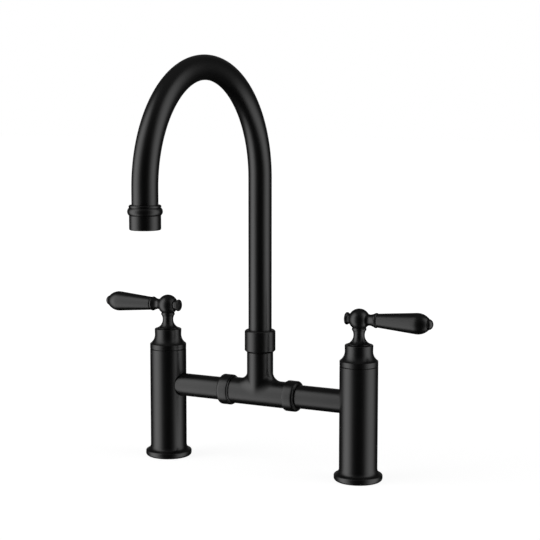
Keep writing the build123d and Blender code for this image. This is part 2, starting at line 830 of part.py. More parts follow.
with BuildPart() as riser_collar:
    with BuildSketch(spout_section):
        with BuildLine():
            Polyline(
                (collar_bore_radius, collar_bottom),
                (collar_radius - collar_foot_chamfer, collar_bottom),
                (collar_radius, collar_bottom + collar_foot_chamfer),
                (collar_radius, collar_top - collar_top_chamfer),
                (collar_radius - collar_top_chamfer, collar_top),
                (tube_radius + running_gap, collar_top),
                (tube_radius + running_gap, collar_lip_bottom),
                (collar_bore_radius, collar_lip_bottom),
                close=True,
            )
        make_face()
    revolve(axis=Axis.Z)
save(riser_collar, "riser_collar")

thrust_ring = plain_ring(Plane.XY.offset(stem_top), socket_radius, stem_radius, slip_ring_thickness)
save(thrust_ring, "swivel_thrust_ring")
top_ring = plain_ring(
    Plane.XY.offset(collar_lip_bottom - slip_ring_thickness),
    tube_radius + running_gap, stem_radius, slip_ring_thickness,
)
save(top_ring, "swivel_top_ring")

with BuildPart() as swivel_insert:
    with BuildSketch(spout_section):
        with BuildLine():
            Polyline(
                (insert_bore_radius, insert_bottom),
                (insert_radius, insert_bottom),
                (insert_radius, insert_flange_bottom),
                (stem_radius - running_gap, insert_flange_bottom),
                (stem_radius - running_gap, insert_flange_top),
                (insert_spigot_radius, insert_flange_top),
                (insert_spigot_radius, insert_flange_top + insert_spigot_length),
                (insert_bore_radius, insert_flange_top + insert_spigot_length),
                close=True,
            )
        make_face()
    revolve(axis=Axis.Z)
    for ring_height in swivel_ring_heights:
        with BuildSketch(Plane.XY.offset(ring_height - swivel_groove_width / 2)):
            Circle(socket_radius)
            Circle(swivel_groove_radius, mode=Mode.SUBTRACT)
        extrude(amount=swivel_groove_width, mode=Mode.SUBTRACT)
save(swivel_insert, "swivel_insert")

with BuildPart() as swivel_orings:
    for ring_height in swivel_ring_heights:
        with BuildSketch(spout_section):
            with Locations((socket_radius - ring_squeeze_gap - large_ring_section / 2, ring_height)):
                Circle(large_ring_section / 2)
        revolve(axis=Axis.Z)
save(swivel_orings, "swivel_orings")

# ---------------------------------------------------------------- spout
bulge_top = nozzle_top - bead_height
bulge_bottom = bulge_top - bulge_height
bulge_middle = bulge_bottom + bulge_height / 2
tube_seat = bulge_middle
spigot_radius = aerator_radius - aerator_wall - fitted_gap
aerator_bottom = bulge_bottom - aerator_height
lip_top = aerator_bottom + aerator_lip_height
plate_top = lip_top + insert_plate_thickness
spigot_bottom = plate_top + aerator_washer_thickness


def nozzle_plane(height):
    """Horizontal sketch plane on the spout end's axis."""
    return Plane(origin=(0, -2 * bend_radius, height))


with BuildPart() as spout_tube:
    with BuildLine() as neck_line:
        Line((0, 0, insert_flange_top), (0, 0, bend_height))
        ThreePointArc(
            (0, 0, bend_height),
            (0, -bend_radius, bend_height + bend_radius),
            (0, -2 * bend_radius, bend_height),
        )
        Line((0, -2 * bend_radius, bend_height), (0, -2 * bend_radius, tube_seat))
    with BuildSketch(Plane.XY.offset(insert_flange_top)):
        Circle(tube_radius)
        Circle(tube_bore_radius, mode=Mode.SUBTRACT)
    sweep(path=neck_line.line)
save(spout_tube, "spout_tube")

with BuildPart() as spout_nozzle:
    with BuildSketch(nozzle_section):
        with BuildLine():
            Polyline(
                (nozzle_bore_radius, spigot_bottom),
                (spigot_radius, spigot_bottom),
                (spigot_radius, bulge_bottom),
                (aerator_radius, bulge_bottom),
            )
            ThreePointArc(
                (aerator_radius, bulge_bottom),
                (bulge_radius, bulge_middle),
                (aerator_radius, bulge_top),
            )
            Polyline(
                (aerator_radius, bulge_top),
                (bead_radius - bead_groove_depth, bulge_top),
                (bead_radius - bead_groove_depth, bulge_top + bead_groove_height),
                (bead_radius, bulge_top + bead_groove_height),
                (bead_radius, nozzle_top),
                (tube_radius + fitted_gap, nozzle_top),
                (tube_radius + fitted_gap, tube_seat),
                (nozzle_bore_radius, tube_seat),
                (nozzle_bore_radius, spigot_bottom),
            )
        make_face()
    revolve(axis=nozzle_axis)
    bead_edge = spout_nozzle.edges().filter_by(GeomType.CIRCLE).group_by(Axis.Z)[-1]
    fillet(bead_edge.sort_by(SortBy.LENGTH)[-1], bead_round)
save(spout_nozzle, "spout_nozzle")

with BuildPart() as aerator_shell:
    with BuildSketch(nozzle_section):
        with BuildLine():
            FilletPolyline(
                (aerator_lip_radius, aerator_bottom),
                (aerator_radius, aerator_bottom),
                (aerator_radius, bulge_bottom - face_gap),
                (aerator_radius - aerator_wall, bulge_bottom - face_gap),
                (aerator_radius - aerator_wall, lip_top),
                (aerator_lip_radius, lip_top),
                radius=[0, aerator_foot_round, 0, 0, 0, 0],
                close=True,
            )
        make_face()
    revolve(axis=nozzle_axis)
save(aerator_shell, "aerator_shell")

with BuildPart() as aerator_insert:
    with BuildSketch(nozzle_plane(lip_top)):
        Circle(spigot_radius)
    extrude(amount=insert_plate_thickness)
    with BuildSketch(nozzle_plane(lip_top)):
        Circle(aerator_lip_radius - fitted_gap)
    extrude(amount=-insert_core_depth)
    with BuildSketch(nozzle_plane(lip_top - insert_core_depth)):
        with HexLocations(mesh_pitch / 2, mesh_rows, mesh_rows):
            RegularPolygon(mesh_hole_radius, 6)
    extrude(amount=insert_core_depth + insert_plate_thickness, mode=Mode.SUBTRACT)
save(aerator_insert, "aerator_insert")

aerator_washer = plain_ring(
    nozzle_plane(plate_top), nozzle_bore_radius, spigot_radius, aerator_washer_thickness
)
save(aerator_washer, "aerator_washer")

screen_radius = nozzle_bore_radius - running_gap
with BuildPart() as aerator_screen:
    with BuildSketch(nozzle_plane(plate_top)):
        Circle(screen_radius)
        with GridLocations(mesh_pitch, mesh_pitch, screen_rows, screen_rows):
            Rectangle(mesh_hole_radius, mesh_hole_radius, mode=Mode.SUBTRACT)
    extrude(amount=screen_thickness)
save(aerator_screen, "aerator_screen")
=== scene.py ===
"""Black bridge kitchen faucet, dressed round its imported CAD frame.

Metres, in the CAD's own frame: +Z up, the bridge along X, the spout towards -Y. Each new piece is a surface
worked out with numpy, as a profile of (distance along, radius) carried round an axis or along the spout.
"""

import math

import bmesh
import bpy
import numpy as np
from mathutils import Matrix


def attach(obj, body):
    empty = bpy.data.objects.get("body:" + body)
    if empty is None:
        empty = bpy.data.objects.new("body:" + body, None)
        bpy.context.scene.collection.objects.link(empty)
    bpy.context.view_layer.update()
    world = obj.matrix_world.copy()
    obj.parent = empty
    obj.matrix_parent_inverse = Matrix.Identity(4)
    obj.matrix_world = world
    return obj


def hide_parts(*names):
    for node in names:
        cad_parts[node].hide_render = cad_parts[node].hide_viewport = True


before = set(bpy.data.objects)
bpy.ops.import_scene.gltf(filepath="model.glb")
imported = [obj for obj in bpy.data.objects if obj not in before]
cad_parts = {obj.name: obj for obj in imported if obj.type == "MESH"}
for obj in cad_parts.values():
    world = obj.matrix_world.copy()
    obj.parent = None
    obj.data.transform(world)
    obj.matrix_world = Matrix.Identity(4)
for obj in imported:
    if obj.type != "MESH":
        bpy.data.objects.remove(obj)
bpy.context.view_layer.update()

bl_info = {
    "name": "Bridge Faucet",
    "version": (1, 0, 0),
    "blender": (4, 5, 0),
    "location": "View3D > Sidebar > Faucet",
    "description": "Turned pieces, finishes and studio for a bridge kitchen faucet",
    "category": "Add Mesh",
}

MM = 0.001
TURN = 2 * math.pi
COLUMNS = 128  # quads round each turned piece
WELD = 1e-8  # points nearer than this become one vertex
SIDES = (("left", 1.0), ("right", -1.0))  # the right valve mirrors the left one in X


def mm(*points):
    """Points given in millimetres, in metres."""
    return np.array(points, float) * MM


# ---------------- sizes and colours
def length(name, description, default):
    """A distance in metres."""
    return bpy.props.FloatProperty(
        name=name, description=description, default=default, precision=5, unit="LENGTH", subtype="DISTANCE"
    )


def share(name, description, default):
    """A plain share from 0 to 1."""
    return bpy.props.FloatProperty(
        name=name, description=description, default=default, min=0.0, max=1.0, precision=4, subtype="FACTOR"
    )


def colour(name, description, default):
    """A linear RGB colour."""
    return bpy.props.FloatVectorProperty(
        name=name, description=description, default=default, size=3, min=0.0, max=1.0, subtype="COLOR"
    )


def angle(name, description, degrees):
    """An angle, given in degrees."""
    return bpy.props.FloatProperty(
        name=name, description=description, default=math.radians(degrees), unit="ROTATION", subtype="ANGLE"
    )


class FaucetEdges(bpy.types.PropertyGroup):
    """How the turned pieces' edges are broken."""

    outer: length("Edge round", "Width of the small round on the turned pieces' edges", 0.34 * MM)
    fine: length("Fine edge round", "Width of the round on thin lips and grooves", 0.16 * MM)


class FaucetPillars(bpy.types.PropertyGroup):
    """The two valve pillars."""

    half_spacing: length("Half spacing", "From the middle of the bridge to a pillar's axis", 101.6 * MM)
    height: length("Height", "Top of the pillar", 106.0 * MM)
    radius: length("Radius", "Pillar's radius", 17.62 * MM)
    flange_radius: length("Flange radius", "Radius of the base flange", 22.42 * MM)
    bridge_height: length("Bridge height", "Height of the bridge's axis", 71.8 * MM)


class FaucetTee(bpy.types.PropertyGroup):
    """The bridge tee."""

    run_radius: length("Run radius", "Radius of the tee's run", 12.43 * MM)
    stem_radius: length("Stem radius", "Radius of the tee's stem", 12.37 * MM)
    crotch_radius: length("Crotch radius", "Radius of the blend beside the stem", 8.8 * MM)
    front_rise: length("Front rise", "Where the blend leaves the stem's front, above the axis", 7.0 * MM)
    front_fall: length("Front fall", "Where the blend meets the run's front, below its axis", 3.0 * MM)
    front_ease: share("Front ease", "How roundly the blend's lower line turns at the front", 0.4)


class FaucetHandles(bpy.types.PropertyGroup):
    """The two lever handles."""

    lever_height: length("Lever height", "Height of the lever's axis", 149.1 * MM)
    ball_radius: length("Ball radius", "Radius of the ball that carries the lever", 9.8 * MM)
    seat: length("Seat", "From the ball's centre to the lever's and the finial's flats", 8.015 * MM)
    grip_radius: length("Grip radius", "Radius at which the grip's taper and end meet unrounded", 10.15 * MM)


class FaucetSpout(bpy.types.PropertyGroup):
    """The swan-neck spout."""

    tube_radius: length("Tube radius", "Outer radius of the spout and bridge tubes", 10.93 * MM)
    bend_radius: length("Bend radius", "Radius of the half circle at the top", 99.6 * MM)
    bend_height: length("Bend height", "Where the half circle starts", 275.0 * MM)
    collar_bottom: length("Collar foot", "Foot of the riser collar", 111.1 * MM)


class FaucetFinishes(bpy.types.PropertyGroup):
    """The finishes."""

    black: colour("Black coat", "Colour of the satin black coat", (0.0013, 0.0013, 0.0014))
    black_roughness: share("Coat roughness", "Roughness of the satin black coat", 0.33)
    grain_size: length("Coat grain", "Size of the coat's fine grain", 0.35 * MM)
    brass: colour("Brass", "Colour of the inner brass pieces", (0.72, 0.52, 0.24))
    ceramic: colour("Ceramic", "Colour of the ceramic discs", (0.86, 0.85, 0.82))
    acetal: colour("Acetal", "Colour of the bearing rings", (0.80, 0.80, 0.77))
    rubber: colour("Rubber", "Colour of seals and rings", (0.02, 0.02, 0.02))
    aerator: colour("Aerator plastic", "Colour of the aerator's insert", (0.03, 0.03, 0.033))
    steel: colour("Stainless steel", "Colour of the screen and clips", (0.62, 0.62, 0.63))


class FaucetStudio(bpy.types.PropertyGroup):
    """Floor, lights and camera."""

    floor_size: length("Floor size", "Side of the square floor", 24.0)
    floor_white: share("Floor white", "How bright the floor is to the camera before the lamps add to it", 0.9)
    floor_colour: colour("Floor colour", "What the floor gives back of the lamps' light", (0.25, 0.25, 0.25))
    panel_distance: length("Panel distance", "From the faucet to each light panel", 2.0)
    panel_width: length("Panel width", "Width of each light panel", 3.7)
    panel_height: length("Panel height", "Height of each light panel", 7.6)
    panel_lift: length("Panel lift", "From the floor to the middle of each light panel", 0.15)
    left_watts: bpy.props.FloatProperty(
        name="Left power", description="Power of the left panel", default=240.0, unit="POWER"
    )
    right_watts: bpy.props.FloatProperty(
        name="Right power", description="Power of the right panel", default=174.0, unit="POWER"
    )
    left_turn: angle("Left turn", "From the camera's side round to the left panel", 76.5)
    right_turn: angle("Right turn", "From the camera's side round to the right panel", 70.0)
    room_level: share("Room level", "Dim light from the room round the panels", 0.006)
    overhead_level: share("Overhead level", "How much paler the room is straight overhead", 0.13)
    behind_level: share("Behind level", "How much paler the room is behind the faucet", 0.2)
    behind_turn: angle("Behind turn", "From the camera's side round to the pale part of the room", 178.0)
    camera_place: bpy.props.FloatVectorProperty(
        name="Camera place", description="Where the camera stands", default=(0.61271, -1.15991, 0.34084),
        precision=5, unit="LENGTH", subtype="TRANSLATION"
    )
    camera_azimuth: angle("Camera azimuth", "Turn of the camera round the faucet", 28.4959)
    camera_tilt: angle("Camera tilt", "How far the camera looks down", 6.1203)
    camera_roll: angle("Camera roll", "Turn of the camera about its own line of sight", -0.07106)
    camera_lens: bpy.props.FloatProperty(name="Lens", description="Focal length in millimetres", default=93.9)
    camera_shift: bpy.props.FloatVectorProperty(
        name="Camera shift", description="Share of the frame that the picture is off the line of sight",
        default=(0.04785, -0.02290), size=2, precision=5
    )


# ---------------- profiles
def arc(start, middle, end, steps=48):
    """Circle through three points: the centre is where the two chords' bisectors meet, then equal angles."""
    start, middle, end = (np.asarray(point, float) for point in (start, middle, end))
    near, far = middle - start, end - start
    double_area = 2 * (near[0] * far[1] - near[1] * far[0])
    squares = np.array([near @ near, far @ far])
    centre = start + np.array([far[1] * squares[0] - near[1] * squares[1],
                               near[0] * squares[1] - far[0] * squares[0]]) / double_area
    spokes = np.array([start, middle, end]) - centre
    angles = np.unwrap(np.arctan2(spokes[:, 1], spokes[:, 0]))
    swept = np.linspace(angles[0], angles[2], steps + 1)
    return centre + np.hypot(*spokes[0]) * np.column_stack([np.cos(swept), np.sin(swept)])


def quarter(start, corner, end, steps=24):
    """Quarter of an ellipse: start + (corner - start) sin t + (end - corner) (1 - cos t)."""
    start, corner, end = (np.asarray(point, float) for point in (start, corner, end))
    turn = np.linspace(0, math.pi / 2, steps + 1)[:, None]
    return start + (corner - start) * np.sin(turn) + (end - corner) * (1 - np.cos(turn))


def filleted(corners, radii, steps=14):
    """Straight runs, each corner with a radius swapped for the arc that touches both of its runs."""
    corners = np.asarray(corners, float)
    pieces = []
    for index, radius in enumerate(radii):
        corner = corners[index]
        if radius == 0:
            pieces.append(corner[None])
            continue
        back = corners[index - 1] - corner
        onward = corners[(index + 1) % len(corners)] - corner
        back, onward = back / np.hypot(*back), onward / np.hypot(*onward)
        half = math.acos(back @ onward) / 2
        inwards = (back + onward) / np.hypot(*(back + onward))
        reach = radius / math.tan(half)
        middle = corner + inwards * (radius / math.sin(half) - radius)
        pieces.append(arc(corner + back * reach, middle, corner + onward * reach, steps))
    return np.vstack(pieces)


def stepped(start, *steps):
    """Corners of a line that goes in square steps, from its start and pairs of (a step's end, its radius)."""
    corners = []
    for end, radius in steps:
        corners += [(start, radius), (end, radius)]
        start = end
    return np.array(corners)


def plain(start, end, radius, rows):
    """Profile of a plain cylinder in even rows."""
    return np.column_stack([np.linspace(start, end, rows + 1), np.full(rows + 1, radius)])


def read_at(distances, run, points):
    """A line of points read at distances along it."""
    return np.column_stack([np.interp(distances, run, values) for values in points.T])


def continued(line, count):
    """What follows a line's last point: its mirror image where it ends on the axis, or else its half turn."""
    back = line[-2:-2 - count:-1]
    return back * (1, -1) if abs(line[-1, 1]) < WELD else 2 * line[-1] - back


def softened(points, edge, closed=True, longest=4 * MM, bend=0.16, tight=1.5 * MM):
    """A profile with its edges broken, in few rows.

    The line is read at equal small steps and each point becomes the mean of a window as long as the edge, so
    a corner turns into a small round and the rest stays. Rows are then kept at equal steps of a cost: 1 for
    each longest distance, 1 for each bend in radians, and 1 for each half edge near turns of less than the
    tight radius.
    """
    points = np.asarray(points, float)
    if closed:
        middle = (points[:1] + points[-1:]) / 2
        points = np.vstack([middle, points, middle])
    run = np.concatenate([[0.0], np.cumsum(np.hypot(*np.diff(points, axis=0).T))])
    half = 4  # steps in half a window
    count = int(math.ceil(run[-1] / edge * 2 * half))
    read = np.linspace(0, run[-1], count + 1)
    line = read_at(read, run, points)
    padded = np.vstack([continued(line[::-1], half)[::-1], line, continued(line, half)])
    window = np.ones(2 * half + 1) / (2 * half + 1)
    line = np.column_stack([np.convolve(values, window, "valid") for values in padded.T])
    step = read[1] - read[0]
    heading = np.unwrap(np.arctan2(*np.diff(line, axis=0).T[::-1]))
    turning = np.concatenate([[0.0], np.abs(np.diff(heading)), [0.0]]) / step
    near = np.convolve(turning > 1 / tight, np.ones(4 * half + 1), "same") > 0
    cost = np.cumsum((1 / longest + turning / bend + near / (0.5 * edge)) * step)
    cost = cost - cost[0]
    kept = np.interp(np.linspace(0, cost[-1], int(math.ceil(cost[-1])) + 1), cost, read)
    return read_at(kept, read, line)


# ---------------- paths
def straight(origin, direction, first):
    """Straight axis: the centre is origin + distance x direction, with the same two spokes all along."""
    origin, direction, first = (np.asarray(vector, float) for vector in (origin, direction, first))
    second = np.cross(direction, first)

    def path(along):
        ones = np.ones((len(along), 1))
        return origin + along[:, None] * direction, ones * first, ones * second

    return path


def upright(x=0, y=0, first=(1, 0, 0)):
    """Upright axis at a place on the deck."""
    return straight((x, y, 0), (0, 0, 1), first)


def swan_neck(bend_radius, bend_height):
    """Spout's centre line by its own length: up to the bend, a half circle towards -Y, then down."""

    def path(along):
        turned = np.clip((along - bend_height) / bend_radius, 0, math.pi)
        fallen = np.maximum(along - bend_height - math.pi * bend_radius, 0)
        climbed = np.minimum(along, bend_height)
        zero = np.zeros_like(along)
        centre = np.column_stack([
            zero, bend_radius * (np.cos(turned) - 1), climbed + bend_radius * np.sin(turned) - fallen
        ])
        side = np.column_stack([zero + 1, zero, zero])
        outwards = np.column_stack([zero, np.cos(turned), np.sin(turned)])
        return centre, side, outwards

    return path


def carried(profile, path, columns=COLUMNS):
    """Profile carried round a path: point(u, v) = centre(a(u)) + r(u) x (first x cos v + second x sin v)."""
    along, radius = profile.T
    centre, first, second = path(along)
    turn = np.linspace(0, TURN, columns + 1)[None, :, None]
    spokes = first[:, None] * np.cos(turn) + second[:, None] * np.sin(turn)
    return centre[:, None] + radius[:, None, None] * spokes


def furrowed(profile, cut, path, columns=COLUMNS):
    """A turned wall cut deeper: its centre + (point - centre) x (1 + cut / radius)."""
    centre = path(profile[:, 0])[0][:, None]
    return centre + (carried(profile, path, columns) - centre) * (1 + cut / profile[:, 1:])[..., None]


# ---------------- side openings
def rim(reach, rows, columns, around=COLUMNS):
    """Points once round the rectangle |a| <= reach, |b| <= spread, from the middle of its +a side towards +b.

    The spread is half the angle that the columns take of a grid with that many around.
    """
    spread = columns * math.pi / around
    far, side = plain(-spread, spread, reach, columns)[:, ::-1], plain(reach, -reach, spread, rows)
    near, other = far[::-1] * (-1, 1), side[::-1] * (1, -1)
    middle = columns // 2
    return np.vstack([far[middle:-1], side[:-1], near[:-1], other[:-1], far[:middle + 1]])


def opened(grid, columns):
    """A grid's columns each side of a window over all of its rows, centred on the middle column."""
    middle = (grid.shape[1] - 1) // 2
    return [grid[:, :middle - columns // 2 + 1], grid[:, middle + columns // 2:]]


def windowed(middle, reach, radius, rows, columns, path):
    """A plain wall from middle - reach to middle + reach, open over that many of its middle columns."""
    return opened(carried(plain(middle - reach, middle + reach, radius, rows), path), columns)


def between(first, last, rows):
    """Straight rows from one line of points to another: (1 - t) x first + t x last."""
    share_of_last = np.linspace(0, 1, rows + 1)[:, None, None]
    return (1 - share_of_last) * first + share_of_last * last


def hole(radius, wall, turn):
    """Where a bore meets a wall square to it, as (distance, turn on the wall): r cos w, asin(r sin w / R)."""
    return np.column_stack([radius * np.cos(turn), np.arcsin(radius * np.sin(turn) / wall)])


def on_upright(points, radius, centre, height):
    """Places on an upright wall from (height, turn from its +X side, or from -X where the radius is < 0)."""
    rise, turn = points[..., 0], points[..., 1]
    return np.stack([centre + radius * np.cos(turn), abs(radius) * np.sin(turn), height + rise], axis=-1)


def ring(x, radius, height, turn):
    """Circle round an axis along X: y = r sin w, z = height + r cos w."""
    return np.column_stack([np.full_like(turn, x), radius * np.sin(turn), height + radius * np.cos(turn)])


# ---------------- meshes
def skin(name, *grids):
    """One closed mesh from grids of points that meet along their borders.

    Neighbouring points of a grid make quads, points at the same place become one vertex, and a quad with two
    corners at one place, as at a pole, becomes a triangle. The faces are then turned to point outwards.
    """
    points = np.concatenate([grid.reshape(-1, 3) for grid in grids])
    quads = []
    first = 0
    for grid in grids:
        rows, columns = grid.shape[:2]
        at = first + np.arange(rows * columns).reshape(rows, columns)
        quads.append(np.stack([at[:-1, :-1], at[1:, :-1], at[1:, 1:], at[:-1, 1:]], axis=-1).reshape(-1, 4))
        first += rows * columns
    places = np.round(points / WELD).astype(np.int64)
    _, kept, vertex_of = np.unique(places, axis=0, return_index=True, return_inverse=True)
    quads = vertex_of.reshape(-1)[np.concatenate(quads)]
    pinched = quads == np.roll(quads, -1, axis=1)
    count = pinched.sum(axis=1)
    triangles = quads[count == 1][~pinched[count == 1]].reshape(-1, 3)
    mesh = bpy.data.meshes.new(name)
    mesh.from_pydata(points[kept].tolist(), [], quads[count == 0].tolist() + triangles.tolist())
    work = bmesh.new()
    work.from_mesh(mesh)
    bmesh.ops.recalc_face_normals(work, faces=work.faces)
    work.to_mesh(mesh)
    work.free()
    mesh.shade_smooth()
    piece = bpy.data.objects.new(name, mesh)
    bpy.context.scene.collection.objects.link(piece)
    return piece


def dress(name, grids, body, node):
    """Make a piece that rides on its body, stands for its CAD node and wears the black coat."""
    piece = skin(name, *grids)
    piece.data.materials.append(finish("black_metal"))
    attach(piece, body)
    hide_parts(node)


def dress_both(turns, **parts):
    """Dress the left valve's pieces, then their mirror images in X. Those that turn ride on their own handle.

    The parts are name=(node, grids), each name and node without its side.
    """
    for side, way in SIDES:
        body = f"{side}_handle" if turns else "base"
        for name, (node, grids) in parts.items():
            dress(f"{side}_{name}", [grid * (way, 1.0, 1.0) for grid in grids], body, f"{side}_{node}")


# ---------------- finishes
def feed(tree, node, given):
    """Fill a node's inputs, by name or number, with sockets or plain values; gives the node."""
    for key, value in given.items():
        if isinstance(value, bpy.types.NodeSocket):
            tree.links.new(value, node.inputs[key])
        else:
            node.inputs[key].default_value = value
    return node


def add(tree, kind, **given):
    """A new node of a kind, fed by the names of its inputs."""
    return feed(tree, tree.nodes.new(f"ShaderNode{kind}"), given)


def maths(tree, operation, *given, kind="Math"):
    """One Math or Vector Math node fed with sockets or plain values; gives its number."""
    node = add(tree, kind)
    node.operation = operation
    return feed(tree, node, dict(enumerate(given))).outputs["Value"]


def eased(tree, value, start, end, low, high):
    """Map Range node that eases from low to high as the value goes from start to end; gives its output."""
    node = tree.nodes.new("ShaderNodeMapRange")
    node.interpolation_type = "SMOOTHSTEP"
    given = {"Value": value, "From Min": start, "From Max": end, "To Min": low, "To Max": high}
    return feed(tree, node, given).outputs["Result"]


def lathe_place(tree, place):
    """Where the noise of turned metal is read: (distance from the nearest upright axis, height).

    The upright axes are the riser's and the two valves', so the distance across is the smaller of |x| and
    ||x| - half spacing|.
    """
    parts = add(tree, "SeparateXYZ", Vector=place).outputs
    half_spacing = bpy.context.scene.faucet_pillars.half_spacing
    aside = maths(tree, "ABSOLUTE", parts["X"])
    to_valve = maths(tree, "ABSOLUTE", maths(tree, "SUBTRACT", aside, half_spacing))
    across = maths(tree, "MINIMUM", aside, to_valve)
    squares = [maths(tree, "MULTIPLY", socket, socket) for socket in (across, parts["Y"])]
    radius = maths(tree, "SQRT", maths(tree, "ADD", *squares))
    return add(tree, "CombineXYZ", X=radius, Y=parts["Z"]).outputs["Vector"]


def grain_group(turned):
    """Shared grain: a fine noise and a wide one, out as a colour, a roughness and a height.

    The coat's fine noise is read on Object coordinates, turned metal's where it leaves a lathe's lines.
    """
    name = "Turned grain" if turned else "Coat grain"
    if name in bpy.data.node_groups:
        return bpy.data.node_groups[name]
    group = bpy.data.node_groups.new(name, "ShaderNodeTree")
    for way, names in (("INPUT", ("Color", "Roughness", "Grain per metre", "Variation")),
                       ("OUTPUT", ("Color", "Roughness", "Height"))):
        for socket in names:
            kind = "NodeSocketColor" if socket == "Color" else "NodeSocketFloat"
            group.interface.new_socket(socket, in_out=way, socket_type=kind)
    given, result = group.nodes.new("NodeGroupInput").outputs, group.nodes.new("NodeGroupOutput")
    place = add(group, "TexCoord").outputs["Object"]
    grain = add(group, "TexNoise", Vector=lathe_place(group, place) if turned else place,
                Scale=given["Grain per metre"], Detail=2.0, Roughness=0.55).outputs["Fac"]
    cloud = add(group, "TexNoise", Vector=place, Scale=38.0, Detail=3.0).outputs["Fac"]
    swing = maths(group, "SUBTRACT", cloud, 0.5)
    roughness = maths(group, "MULTIPLY_ADD", swing, given["Variation"], given["Roughness"])
    tone = group.nodes.new("ShaderNodeMix")
    tone.data_type = "RGBA"
    tone.blend_type = "MULTIPLY"
    feed(group, tone, {"Factor": 0.35, "A": given["Color"], "B": grain})
    feed(group, result, {"Color": tone.outputs["Result"], "Roughness": roughness, "Height": grain})
    return group


def grained(name, turned, paint, roughness, grain_size, variation, depth, metallic):
    """Principled material whose colour, roughness and bump come from one of the grain groups."""
    material = bpy.data.materials.new(name)
    material.use_nodes = True
    tree = material.node_tree
    grain = tree.nodes.new("ShaderNodeGroup")
    grain.node_tree = grain_group(turned)
    feed(tree, grain, {"Color": (*paint, 1), "Roughness": roughness, "Grain per metre": 1 / grain_size,
                       "Variation": variation})
    bump = add(tree, "Bump", Distance=depth, Strength=1.0, Height=grain.outputs["Height"])
    feed(tree, tree.nodes["Principled BSDF"], {
        "Base Color": grain.outputs["Color"], "Roughness": grain.outputs["Roughness"],
        "Metallic": metallic, "Normal": bump.outputs["Normal"],
    })
    return material


def finish(slot):
    """The material of one of the CAD's material slots, made once.

    Each row: name, turned, colour, roughness, grain's size, the roughness's variation, depth, metallic.
    """
    paint = bpy.context.scene.faucet_finishes
    name, *look = {
        "black_metal": ("satin_black_coat", False, paint.black, paint.black_roughness, paint.grain_size,
                        0.06, 0.002 * MM, 0),
        "rubber": ("seal_rubber", False, paint.rubber, 0.7, 0.5 * MM, 0.1, 0.01 * MM, 0),
        "ceramic": ("disc_ceramic", True, paint.ceramic, 0.25, 0.25 * MM, 0.05, 0.0005 * MM, 0),
        "acetal": ("bearing_acetal", True, paint.acetal, 0.45, 0.3 * MM, 0.08, 0.004 * MM, 0),
        "aerator_plastic": ("aerator_moulding", False, paint.aerator, 0.45, 0.6 * MM, 0.08, 0.004 * MM, 0),
        "brass": ("turned_brass", True, paint.brass, 0.3, 0.22 * MM, 0.25, 0.003 * MM, 1),
        "stainless": ("brushed_stainless", False, paint.steel, 0.32, 0.2 * MM, 0.2, 0.002 * MM, 1),
    }[slot]
    return bpy.data.materials[name] if name in bpy.data.materials else grained(name, *look)


# ---------------- the pieces
class FAUCET_OT_cad_finishes(bpy.types.Operator):
    """Give each CAD node the finish of its material slot"""

    bl_idname = "faucet.cad_finishes"
    bl_label = "CAD Finishes"

    def execute(self, context):
        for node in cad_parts.values():
            for index, given in enumerate(node.data.materials):
                node.data.materials[index] = finish(given.name.split(".")[0] if given else "black_metal")
        return {"FINISHED"}


